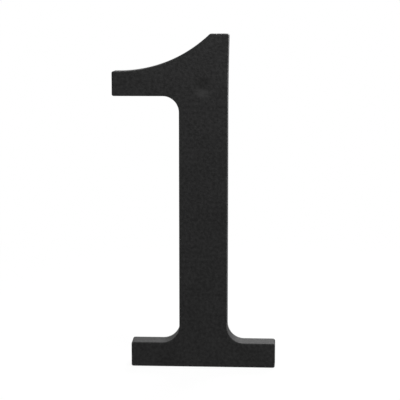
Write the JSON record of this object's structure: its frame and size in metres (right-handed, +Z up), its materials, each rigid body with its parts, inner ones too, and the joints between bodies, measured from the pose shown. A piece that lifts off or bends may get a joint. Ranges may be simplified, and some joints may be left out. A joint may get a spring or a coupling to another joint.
{
  "type": "house number",
  "caption": "Slab numeral one for a house wall: solid casting with a swept flag, bracketed foot, rounded front edges and blind tapped stud holes in its flat back.",
  "frame": {"origin": "on the flat back that meets the wall, on the stem's centre line, midway between the two stud holes and halfway up the numeral", "axes": "+Z up the stem, +Y into the wall, so the front faces -Y, and +X to the reader's right"},
  "size_m": [0.0621, 0.008, 0.127],
  "materials": {
    "powder_coat": "matt black powder coat with a fine texture"
  },
  "bodies": {
    "root": {"numeral": "powder_coat"}
  },
  "joints": []
}
